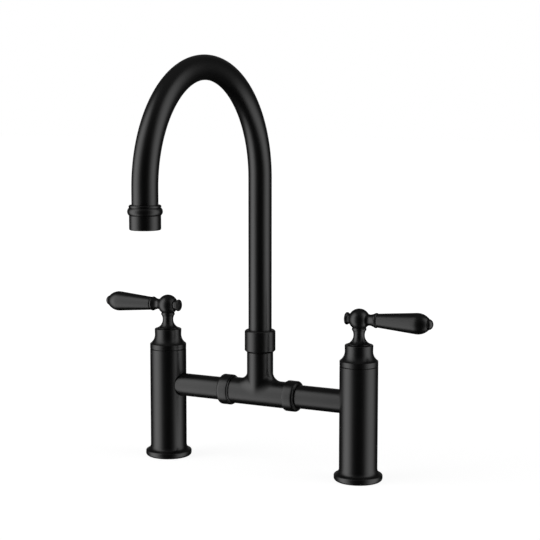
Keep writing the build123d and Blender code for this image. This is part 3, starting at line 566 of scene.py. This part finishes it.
class FAUCET_OT_pillars(bpy.types.Operator):
    """Turn the two valve pillars, with their flanges, bores, inlet threads and side ports"""

    bl_idname = "faucet.pillars"
    bl_label = "Pillars"

    def execute(self, context):
        scene = context.scene
        size, edges = scene.faucet_pillars, scene.faucet_edges
        height, ends = size.bridge_height, size.radius
        chamber, waterway, inlet, valve_seat = mm(9.6, 6.0, 9.3, 52.0)
        groove, flange = 17.5 * MM, size.flange_radius
        # the seam of the turned grids is on the side away from the bridge, so the port is at their middle
        axis = upright(-size.half_spacing, first=(-1, 0, 0))
        reach, inner_reach = 14.0 * MM, 8.2 * MM
        wide, narrow = 36, 46  # columns of the outer window and of the chamber's
        tall, low = COLUMNS // 2 - wide, COLUMNS // 2 - narrow  # rows, so that both rims have as many points
        thread_end, thread_start, chamfer = 15.0 * MM, 0.6 * MM, 0.3 * MM
        inner_top, inner_end = height + inner_reach, height - inner_reach
        port_end = height - reach
        top = np.vstack([
            [(height + reach, ends), (size.height - chamfer, ends), (size.height, ends - chamfer)],
            # the bonnet's thread, the room for the cartridge's head, the cartridge's thread
            stepped(size.height, *mm((97.5, 14.55), (89.5, 13.0), (80.5, 10.5)), (inner_top, chamber)),
        ])
        seat = [*stepped(inner_end, (valve_seat, chamber), (thread_end, waterway)), (thread_end, inlet)]
        # the base seal's groove, then the flange's rim and slope
        foot = np.vstack([
            stepped(thread_start, (0, inlet), mm(1.6, 13.5), (0, groove)),
            filleted([(0, groove), (0, flange), (5.66 * MM, flange), (7.98 * MM, ends), (port_end, ends)],
                     mm(0, 2.9, 1.5, 5.0, 0))[1:],
        ])
        turned = [carried(softened(line, edges.outer, closed=False), axis) for line in (top, seat, foot)]
        grids = [*turned, *windowed(height, reach, ends, tall, wide, axis),
                 *windowed(height, inner_reach, chamber, low, narrow, axis),
                 self.thread(axis, inlet, thread_end, thread_start),
                 *self.port(size, rim(reach, tall, wide), rim(inner_reach, low, narrow), chamber)]
        dress_both(False, valve_pillar=("pillar", grids))
        return {"FINISHED"}

    def thread(self, axis, crest, top, bottom):
        """Pipe thread: radius = crest + depth x fade x (1 - cos(turn + TURN x height / pitch)) / 2."""
        pitch, depth, run_out = mm(1.814, 1.16, 1.2)
        wall = plain(top, bottom, crest, 96)
        height = wall[:, :1]
        fade = np.clip(np.minimum(top - height, height - bottom) / run_out, 0, 1)
        turn = np.linspace(0, TURN, COLUMNS + 1)
        return furrowed(wall, depth * fade * (1 - np.cos(turn + TURN * height / pitch)) / 2, axis)

    def port(self, size, outer_rim, inner_rim, chamber):
        """Side port: from the window in the outer wall to the tube's bore, its ledge and the waterway."""
        centre, height = -size.half_spacing, size.bridge_height
        bore, waterway, ledge = mm(10.98, 7.5, 10.9)
        turn = np.linspace(0, TURN, COLUMNS + 1)
        mouth, outlet = hole(bore, size.radius, turn), hole(waterway, chamber, turn)
        seat = [ring(centre + ledge, radius, height, turn) for radius in (bore, waterway)]
        return [
            on_upright(between(outer_rim, mouth, 6), size.radius, centre, height),
            between(on_upright(mouth, size.radius, centre, height), seat[0], 4),
            between(*seat, 2),
            between(seat[1], on_upright(outlet, chamber, centre, height), 4),
            on_upright(between(outlet, inner_rim, 3), chamber, centre, height),
        ]


class FAUCET_OT_tee(bpy.types.Operator):
    """Cast the bridge tee, its stem blended into its run"""

    bl_idname = "faucet.tee"
    bl_label = "Bridge Tee"

    def execute(self, context):
        scene = context.scene
        size, tee, edges = scene.faucet_pillars, scene.faucet_tee, scene.faucet_edges
        height, run, stem = size.bridge_height, tee.run_radius, tee.stem_radius
        bore, waterway, swivel = mm(8.6, 7.6, 9.6)
        end, reach, inner_reach = mm(35.0, 24.0, 10.4)
        around = 2 * COLUMNS  # points round the stem
        wide, narrow = 84, 52  # columns of the run's outer window and of its bore's
        tall, low = around // 2 - wide, around // 2 - narrow
        # the seam of the run is underneath, so the stem is at the middle of its columns
        ahead, back = (straight((0, 0, height), (way, 0, 0), (0, 0, -1)) for way in (1, -1))
        line = [(reach, run), (end, run), (end, bore), (inner_reach, bore)]
        grids = [carried(softened(line, edges.outer, closed=False), axis) for axis in (ahead, back)]
        grids += windowed(0, reach, run, tall, wide, ahead)
        grids += windowed(0, inner_reach, bore, low, narrow, ahead)
        turn = np.linspace(0, TURN, around + 1)

        def level(radius, at):
            return np.column_stack([radius * np.cos(turn), radius * np.sin(turn), np.zeros_like(turn) + at])

        foot, contact = self.blend_lines(tee, turn)
        stem_foot = level(stem, height + foot)
        shoulder, top, floor, low_ring = height + 26.0 * MM, 124.0 * MM, 93.0 * MM, height + 10.0 * MM
        seam, neck = scene.faucet_spout.collar_bottom - 0.25 * MM, stem - 0.4 * MM
        outlet = hole(waterway, bore, turn)
        socket = stepped(shoulder, (seam, stem), (top, neck), (floor, swivel), (low_ring, waterway))
        grids += [
            self.on_run(between(rim(reach, tall, wide), contact, 10), run, height),
            self.crotch(stem_foot, self.on_run(contact, run, height), turn, contact[:, 1]),
            between(stem_foot, level(stem, shoulder), 12),
            carried(softened(socket, edges.outer, closed=False), upright(), around),
            between(level(waterway, low_ring), self.on_run(outlet, bore, height), 4),
            self.on_run(between(outlet, rim(inner_reach, low, narrow), 4), bore, height),
        ]
        dress("cast_tee", grids, "base", "bridge_tee")
        return {"FINISHED"}

    def on_run(self, points, radius, height):
        """Places on a wall of the run from (distance along, turn from straight up)."""
        along, turn = points[..., 0], points[..., 1]
        return np.stack([along, radius * np.sin(turn), height + radius * np.cos(turn)], axis=-1)

    def blend_lines(self, tee, turn):
        """Where the blend leaves the stem, as a height, and meets the run, as (along, turn from the top).

        At the sides both are a rolling ball's: it touches the stem at the height run + crotch radius and the
        run as far along as stem + crotch radius. Towards the front and the back the lines are rounded off
        instead of running to a point: height = the ellipse sqrt((side c)^2 + (front s)^2), and on the run the
        height falls by the share (sqrt(c^2 + e^2) - e) / (sqrt(1 + e^2) - e) to a little below its axis.
        """
        c, s = np.cos(turn), np.sin(turn)
        foot = np.hypot((tee.run_radius + tee.crotch_radius) * c, tee.front_rise * s)
        ease = tee.front_ease
        fallen = (np.hypot(c, ease) - ease) / (math.hypot(1, ease) - ease)
        level = (tee.run_radius + tee.front_fall) * fallen - tee.front_fall
        side = np.where(s < 0, -1.0, 1.0) * np.arccos(np.clip(level / tee.run_radius, -1, 1))
        return foot, np.column_stack([(tee.stem_radius + tee.crotch_radius) * c, side])

    def crotch(self, first, last, turn, tilt):
        """Cubic rows from the stem to the run, flush with both, each handle as long as a round arc's.

        The handles point along the chord laid into each wall's own tangent plane, and for the angle w between
        them they are chord x 2/3 tan(w/4) / sin(w/2) long.
        """
        zero = np.zeros_like(turn)
        stem_normal = np.column_stack([np.cos(turn), np.sin(turn), zero])
        run_normal = np.column_stack([zero, np.sin(tilt), np.cos(tilt)])
        chord = last - first
        tangents = []
        for normal in (stem_normal, run_normal):
            flat = chord - (chord * normal).sum(axis=1)[:, None] * normal
            tangents.append(flat / np.linalg.norm(flat, axis=1)[:, None])
        leave, arrive = tangents
        least = 0.01  # so that the handle of a straight chord is still a number
        bend = np.maximum(np.arccos(np.clip((leave * arrive).sum(axis=1), -1, 1)), least)
        handle = (np.linalg.norm(chord, axis=1) * 2 / 3 * np.tan(bend / 4) / np.sin(bend / 2))[:, None]
        points = (first, first + handle * leave, last - handle * arrive, last)
        t = np.linspace(0, 1, 25)[:, None, None]
        weights = ((1 - t) ** 3, 3 * t * (1 - t) ** 2, 3 * t ** 2 * (1 - t), t ** 3)
        return sum(weight * point for weight, point in zip(weights, points))


def cove(waist, end):
    """Arc of the valve's profile that stands upright at its waist, from there to its end."""
    reach, spread = end[0] - waist[0], end[1] - waist[1]
    swept = 2 * math.atan(spread / reach)
    bend = reach / math.sin(swept)
    middle = (waist[0] + bend * math.sin(swept / 2), waist[1] + bend * (1 - math.cos(swept / 2)))
    return arc(waist, middle, end)


class FAUCET_OT_bonnets(bpy.types.Operator):
    """Turn the two stepped bonnets"""

    bl_idname = "faucet.bonnets"
    bl_label = "Bonnets"

    def execute(self, context):
        size, edges = context.scene.faucet_pillars, context.scene.faucet_edges
        radius = size.radius
        # heights from the pillar's top: thread and undercut foot, cove, rim, bush's seat and inside
        profile = np.vstack([
            mm((-8.2, 12.55), (-8.2, 14.5), (0, 14.5), (0, 16.3), (0.5, 16.3)),
            [(0.5 * MM, radius - 0.15 * MM), (0.65 * MM, radius)],
            cove(mm(14.0, 12.85), (5.04 * MM, radius))[::-1],
            filleted(mm((18.9, 13.05), (19.9, 13.05), (19.9, 8.4)), mm(0, 0.9, 0)),
            mm((14.2, 8.4), (14.2, 10.0), (5.04, 10.0), (1.5, 12.55)),
        ]) + (size.height, 0)
        grid = carried(softened(profile, edges.fine), upright(-size.half_spacing))
        dress_both(False, valve_bonnet=("bonnet", [grid]))
        return {"FINISHED"}


class FAUCET_OT_hubs(bpy.types.Operator):
    """Turn the two handle hubs: splined boss, flared stem, bead and ball, bored across for the stud"""

    bl_idname = "faucet.hubs"
    bl_label = "Handle Hubs"

    def execute(self, context):
        scene = context.scene
        size, handle, edges = scene.faucet_pillars, scene.faucet_handles, scene.faucet_edges
        ball, middle = handle.ball_radius, handle.lever_height
        around, wide, narrow = 240, 60, 72  # columns all round, of the ball's windows and of the pin bore's
        tall, low = 24, 12  # their rows, so that both rims have as many points
        reach = wide * math.pi / around
        inner_reach, pin, boss_end, spline_end, pin_end = mm(2.8, 3.05, 108.25, 122.75, 3.25)
        # the first spoke lies across the lever, so each half turn has its window in the middle
        axis = upright(-size.half_spacing, first=(0, 1, 0))

        def on_axis(*lines):
            return [carried(line, axis, around) for line in lines]

        def meridian(start, end, rows):
            lift = np.linspace(start, end, rows + 1)
            return np.column_stack([middle + ball * np.sin(lift), ball * np.cos(lift)])

        groove, waist = 141.62 * MM, mm(134.7, 5.13)
        outline = np.vstack([
            meridian(-reach, -math.asin((middle - groove) / ball), 8),
            mm((141.5, 6.08), (141.32, 6.1)),
            arc(*mm((141.27, 6.32), (140.25, 6.66), (138.8, 6.25))),
            cove(waist, mm(138.8, 6.05))[::-1],
            cove(waist, mm(126.65, 10.1)),
            mm((126.65, 10.4), (126.2, 10.4), (126.2, 7.3)),
            [(boss_end, 7.3 * MM), (boss_end, 5.5 * MM)],
        ])
        roof = [*plain(middle + inner_reach, middle + pin_end, pin, 1), (middle + pin_end, 0)]
        crown, stem, shaft, roof = on_axis(
            meridian(math.pi / 2, reach, 14),
            softened(outline, edges.fine, closed=False),
            plain(spline_end, middle - inner_reach, pin, 6),
            softened(roof, edges.fine, closed=False),
        )
        band, pin_band = on_axis(meridian(reach, -reach, tall),
                                 plain(middle - inner_reach, middle + inner_reach, pin, low))
        splines = self.splines(axis, boss_end, spline_end, around)
        grids = [crown, stem, shaft, roof, splines, between(stem[-1], splines[0], 2),
                 between(splines[-1], shaft[0], 2)]
        half = around // 2
        for grid, columns in ((band, wide), (pin_band, narrow)):
            grids += [*opened(grid[:, :half + 1], columns), *opened(grid[:, half:], columns)]
        rims = rim(reach, tall, wide, around), rim(inner_reach, low, narrow, around)
        for side in (1, -1):
            grids += self.stud_hole(size, handle, side, *rims, pin)
        dress_both(True, turned_hub=("handle_hub", grids))
        return {"FINISHED"}

    def splines(self, axis, start, end, columns):
        """Splined socket: radius = root + depth x (9/10 + 2 cos(teeth x turn)), the bracket cut to 0 to 1."""
        root, depth, teeth = 4.05 * MM, 0.55 * MM, 20
        cut = depth * np.clip(0.9 + 2 * np.cos(teeth * np.linspace(0, TURN, columns + 1)), 0, 1)
        return furrowed(plain(start, end, root, 4), cut, axis, columns)

    def stud_hole(self, size, handle, side, outer_rim, inner_rim, pin):
        """From the window in the ball to its flat and in along the stud's bore to the pin's bore.

        A place on the ball is (lift, turn) and on the pin's bore (height, turn).
        """
        centre, middle, ball, seat = -size.half_spacing, handle.lever_height, handle.ball_radius, handle.seat
        flat, stud = math.sqrt(ball ** 2 - seat ** 2), 2.05 * MM
        turn = np.linspace(0, TURN, len(outer_rim))

        def on_ball(points):
            lift, round_it = points[..., 0], points[..., 1]
            return np.stack([centre + side * ball * np.cos(lift) * np.cos(round_it),
                             ball * np.cos(lift) * np.sin(round_it), middle + ball * np.sin(lift)], axis=-1)

        lift, round_it = np.arcsin(flat * np.cos(turn) / ball), np.arctan2(flat * np.sin(turn), seat)
        mouth = np.column_stack([lift, round_it])
        outlet = hole(stud, pin, turn)
        bottom = ring(centre + side * seat, stud, middle, turn)
        return [
            on_ball(between(outer_rim, mouth, 5)),
            between(on_ball(mouth), bottom, 3),
            between(bottom, on_upright(outlet, side * pin, centre, middle), 4),
            on_upright(between(outlet, inner_rim, 3), side * pin, centre, middle),
        ]


class FAUCET_OT_levers(bpy.types.Operator):
    """Turn the levers: arm, grip, end button and finial"""

    bl_idname = "faucet.levers"
    bl_label = "Levers"

    def execute(self, context):
        scene = context.scene
        size, handle, edges = scene.faucet_pillars, scene.faucet_handles, scene.faucet_edges
        # distances outwards from the ball's centre, the finial's below 0
        axis = straight((-size.half_spacing, 0, handle.lever_height), (-1, 0, 0), (0, 1, 0))
        seat, stud, bore = handle.seat, 2.0 * MM, 2.05 * MM
        stud_end, finial_floor = -seat - 3.4 * MM, -seat - 3.45 * MM
        grip_start, grip_end, arm_end, button_floor = mm(18.15, 66.7, 68.75, 68.8)
        neck = mm((6.9, 6.83), (7.9, 5.95), (9.2, 5.3), (10.7, 5.03), (12.2, 5.2), (13.8, 5.68), (15.5, 6.35))
        fine = np.linspace(neck[0, 0], neck[-1, 0], 60)
        curve = np.polynomial.Polynomial.fit(*neck.T, deg=5)
        arm = np.vstack([
            [(stud_end, 0), (stud_end, stud), (neck[0, 0], stud), neck[0]],
            np.column_stack([fine, curve(fine)])[1:-1],
            arc(*mm((15.5, 6.35), (16.9, 6.9), (18.15, 6.1))),
            [(grip_start, stud), (arm_end, stud), (arm_end, 0)],
        ])
        grip = filleted(
            [(grip_start, bore), (grip_start, 5.4 * MM), mm(18.9, 6.4), (61.9 * MM, handle.grip_radius),
             (grip_end, 5.35 * MM), (grip_end, bore)],
            mm(0, 0, 0, 14.5, 0, 0),
        )
        button = np.vstack([
            [(button_floor, 0), (button_floor, bore), (66.8 * MM, bore), (66.8 * MM, 4.6 * MM)],
            quarter(*mm((67.1, 4.85), (71.0, 4.85), (71.0, 0)), 40),
        ])
        finial = filleted(
            [(finial_floor, 0), (finial_floor, bore), (-seat, bore), (-seat, 4.75 * MM),
             *mm((-10.45, 4.85), (-11.55, 5.75), (-13.0, 5.65), (-13.55, 0))],
            mm(0, 0, 0, 0, 0.4, 1.0, 0.9, 0),
        )
        parts = {}
        for part, profile in (("arm", arm), ("grip", grip), ("end_button", button), ("finial", finial)):
            line = softened(profile, edges.fine, closed=part == "grip")  # the others end on the axis
            parts[f"handle_{part}"] = f"lever_{part}", [carried(line, axis)]
        dress_both(True, **parts)
        return {"FINISHED"}


class FAUCET_OT_bridge_unions(bpy.types.Operator):
    """Turn the bridge tubes and their union nuts"""

    bl_idname = "faucet.bridge_unions"
    bl_label = "Bridge Tubes and Nuts"

    def execute(self, context):
        scene = context.scene
        size, spout, edges = scene.faucet_pillars, scene.faucet_spout, scene.faucet_edges
        axis = straight((0, 0, size.bridge_height), (-1, 0, 0), (0, 1, 0))
        radius, sleeve = spout.tube_radius, spout.tube_radius + 0.05 * MM
        bore, collar, barrel = mm(8.6, 12.43, 14.42)
        start, shoulder, groove, end = mm(36.2, 38.2, 88.45, 90.65)
        steps = stepped(start, (shoulder, collar), (groove, radius), mm(89.85, 9.84), (end, radius))
        tube = [(start, bore), *steps, (end, bore)]
        nut = np.vstack([
            mm((28.0, 12.48), (28.0, 12.75), (28.15, 12.9)),
            quarter(*mm((28.15, 12.95), (28.15, 13.6), (28.5, 13.6)), 8),
            mm((29.35, 13.6), (29.35, 13.8)),
            quarter(mm(29.35, 13.9), (29.35 * MM, barrel), (30.3 * MM, barrel)),
            quarter((38.1 * MM, barrel), (40.9 * MM, barrel), mm(40.9, 11.4)),
            [(40.9 * MM, sleeve), (shoulder, sleeve), (shoulder, 12.48 * MM)],
        ])
        pipe, nut = (carried(softened(profile, edges.fine), axis) for profile in (tube, nut))
        dress_both(False, bridge_pipe=("bridge_tube", [pipe]), bridge_nut=("union_nut", [nut]))
        return {"FINISHED"}


class FAUCET_OT_spout(bpy.types.Operator):
    """Make the swan neck, its riser collar, nozzle and aerator shell"""

    bl_idname = "faucet.spout"
    bl_label = "Spout"

    def execute(self, context):
        scene = context.scene
        spout, edges = scene.faucet_spout, scene.faucet_edges
        radius = spout.tube_radius
        sleeve, inside = radius + 0.05 * MM, radius - 1.2 * MM
        neck_start, neck_end = 127.0 * MM, spout.bend_height + math.pi * spout.bend_radius + 18.85 * MM
        # the tube takes shorter rows than the rest, so that its bend stays round
        tube = softened([(neck_start, inside), (neck_start, radius), (neck_end, radius), (neck_end, inside)],
                        edges.fine, longest=2.6 * MM)
        neck = swan_neck(spout.bend_radius, spout.bend_height)
        dress("swan_neck", [carried(tube, neck)], "spout", "spout_tube")
        # heights from the collar's foot
        collar = np.vstack([
            mm((0, 12.2), (0, 12.7), (1.6, 14.5), (19.7, 14.5), (20.9, 13.3)),
            [(20.9 * MM, sleeve), (16.5 * MM, sleeve), mm(16.5, 12.2)],
        ]) + (spout.collar_bottom, 0)
        dress("riser_sleeve", [carried(softened(collar, edges.outer), upright())], "base", "riser_collar")
        top = 262.0 * MM
        nozzle = np.vstack([
            mm((247.0, 9.4), (247.0, 11.3), (253.4, 11.3), (253.4, 13.0)),
            arc(*mm((253.4, 13.0), (256.55, 14.48), (259.6, 13.15))),
            filleted([*mm((259.7, 12.95), (259.95, 12.95), (259.95, 13.3)), (top, 13.3 * MM), (top, sleeve)],
                     mm(0, 0, 0.3, 1.2, 0)),
            [(256.15 * MM, sleeve), mm(256.15, 9.4)],
        ])
        shell = filleted(mm((241.55, 9.8), (241.55, 13.0), (253.3, 13.0), (253.3, 11.35), (244.05, 11.35),
                            (244.05, 9.8)), mm(0, 1.2, 0, 0, 0, 0))
        outlet = upright(y=-2 * spout.bend_radius)
        dress("spout_end", [carried(softened(nozzle, edges.fine), outlet)], "spout", "spout_nozzle")
        dress("aerator_housing", [carried(softened(shell, edges.outer), outlet)], "spout", "aerator_shell")
        return {"FINISHED"}


# ---------------- studio
class FAUCET_OT_studio(bpy.types.Operator):
    """Lay the floor, hang the two light panels and set up the camera"""

    bl_idname = "faucet.studio"
    bl_label = "Studio"

    def execute(self, context):
        scene = context.scene
        studio = scene.faucet_studio
        scene.view_settings.view_transform = "Standard"

        half = studio.floor_size / 2
        steps = np.linspace(-half, half, 9)
        across, deep = np.meshgrid(steps, steps, indexing="ij")
        ground = np.stack([across, deep, np.zeros_like(across)], axis=-1)
        floor = skin("studio_floor", ground)
        floor.data.materials.append(self.floor_finish(studio))
        floor.visible_glossy = False
        floor.visible_shadow = False

        to_camera = studio.camera_azimuth - math.pi / 2
        for name, azimuth, watts in (
            ("left", to_camera - studio.left_turn, studio.left_watts),
            ("right", to_camera + studio.right_turn, studio.right_watts),
        ):
            panel = bpy.data.lights.new(f"{name}_panel", "AREA")
            panel.shape = "RECTANGLE"
            panel.size, panel.size_y = studio.panel_width, studio.panel_height
            panel.energy = watts
            panel.use_nodes = True
            self.soft_panel(panel.node_tree)
            lamp = bpy.data.objects.new(f"{name}_panel", panel)
            away = studio.panel_distance
            lamp.location = (away * math.cos(azimuth), away * math.sin(azimuth), studio.panel_lift)
            lamp.rotation_euler = (math.pi / 2, 0, azimuth + math.pi / 2)
            lamp.visible_camera = False
            scene.collection.objects.link(lamp)

        scene.world = bpy.data.worlds.new("studio_room")
        scene.world.use_nodes = True
        self.room(scene.world.node_tree, studio)

        camera = bpy.data.objects.new("camera", bpy.data.cameras.new("camera"))
        camera.data.sensor_width = 36.0
        camera.data.lens = studio.camera_lens
        camera.data.shift_x, camera.data.shift_y = studio.camera_shift
        camera.location = studio.camera_place
        azimuth = Matrix.Rotation(studio.camera_azimuth, 3, "Z")
        tilt = Matrix.Rotation(math.pi / 2 - studio.camera_tilt, 3, "X")
        roll = Matrix.Rotation(studio.camera_roll, 3, "Z")
        camera.rotation_euler = (azimuth @ tilt @ roll).to_euler()
        scene.collection.objects.link(camera)
        scene.camera = camera
        return {"FINISHED"}

    def soft_panel(self, tree):
        """Light that fades to the panel's edges: sin squared across it, the root of sin up its height."""
        parts = add(tree, "SeparateXYZ", Vector=add(tree, "NewGeometry").outputs["Parametric"]).outputs
        across, upwards = (maths(tree, "SINE", maths(tree, "MULTIPLY", parts[way], math.pi)) for way in "XY")
        faded = maths(tree, "MULTIPLY", maths(tree, "POWER", across, 2.0), maths(tree, "POWER", upwards, 0.5))
        feed(tree, tree.nodes["Emission"], {"Strength": faded})

    def floor_finish(self, studio):
        """Pale floor: white to the camera alone, a little less near the faucet, where its shadow falls."""
        material = bpy.data.materials.new("pale_floor")
        material.use_nodes = True
        tree = material.node_tree
        distance = maths(tree, "LENGTH", add(tree, "TexCoord").outputs["Object"], kind="VectorMath")
        near, far = 0.3, 1.2  # metres from the riser
        level = eased(tree, distance, near, far, studio.floor_white, 1.0)
        white = maths(tree, "MULTIPLY", add(tree, "LightPath").outputs["Is Camera Ray"], level)
        feed(tree, tree.nodes["Principled BSDF"], {
            "Base Color": (*studio.floor_colour, 1), "Roughness": 0.9, "Specular IOR Level": 0.0,
            "Emission Color": (1, 1, 1, 1), "Emission Strength": white,
        })
        return material

    def room(self, tree, studio):
        """White to the camera; to every other ray a dim room, paler overhead and low behind the faucet.

        level = room + overhead x up^3 + behind x facing^10, the last only above the floor's horizon.
        """
        place = add(tree, "TexCoord").outputs["Generated"]
        height = add(tree, "SeparateXYZ", Vector=place).outputs["Z"]
        upwards = maths(tree, "POWER", maths(tree, "MAXIMUM", height, 0.0), 3.0)
        overhead = maths(tree, "MULTIPLY", upwards, studio.overhead_level)
        turn = studio.camera_azimuth - math.pi / 2 + studio.behind_turn
        behind = maths(tree, "DOT_PRODUCT", place, (math.cos(turn), math.sin(turn), 0), kind="VectorMath")
        facing = maths(tree, "POWER", maths(tree, "MAXIMUM", behind, 0.0), 10.0)
        below, horizon = -0.2, 0.0
        above = eased(tree, height, below, horizon, 0.0, studio.behind_level)
        room = maths(tree, "ADD", maths(tree, "ADD", overhead, studio.room_level),
                     maths(tree, "MULTIPLY", facing, above))
        lit = maths(tree, "MAXIMUM", room, add(tree, "LightPath").outputs["Is Camera Ray"])
        feed(tree, tree.nodes["Background"], {"Color": (1, 1, 1, 1), "Strength": lit})


# ---------------- panel and registration
GROUPS = {
    "faucet_edges": FaucetEdges,
    "faucet_pillars": FaucetPillars,
    "faucet_tee": FaucetTee,
    "faucet_handles": FaucetHandles,
    "faucet_spout": FaucetSpout,
    "faucet_finishes": FaucetFinishes,
    "faucet_studio": FaucetStudio,
}
OPERATORS = (
    FAUCET_OT_cad_finishes,
    FAUCET_OT_pillars,
    FAUCET_OT_bonnets,
    FAUCET_OT_hubs,
    FAUCET_OT_levers,
    FAUCET_OT_tee,
    FAUCET_OT_bridge_unions,
    FAUCET_OT_spout,
    FAUCET_OT_studio,
)


class FAUCET_PT_sidebar(bpy.types.Panel):
    """Lists the faucet's pieces and sizes"""

    bl_idname = "FAUCET_PT_sidebar"
    bl_label = "Bridge Faucet"
    bl_space_type = "VIEW_3D"
    bl_region_type = "UI"
    bl_category = "Faucet"

    def draw(self, context):
        for operator in OPERATORS:
            self.layout.operator(operator.bl_idname)
        for group, kind in GROUPS.items():
            box = self.layout.box()
            for name in kind.__annotations__:
                box.prop(getattr(context.scene, group), name)


def register():
    for kind in (*GROUPS.values(), *OPERATORS, FAUCET_PT_sidebar):
        bpy.utils.register_class(kind)
    for name, kind in GROUPS.items():
        setattr(bpy.types.Scene, name, bpy.props.PointerProperty(type=kind))


def unregister():
    for name in GROUPS:
        delattr(bpy.types.Scene, name)
    for kind in (FAUCET_PT_sidebar, *reversed(OPERATORS), *GROUPS.values()):
        bpy.utils.unregister_class(kind)


def main():
    """Make every piece and the stage."""
    register()
    for operator in OPERATORS:
        group, name = operator.bl_idname.split(".")
        getattr(getattr(bpy.ops, group), name)()


if __name__ == "__main__":
    main()
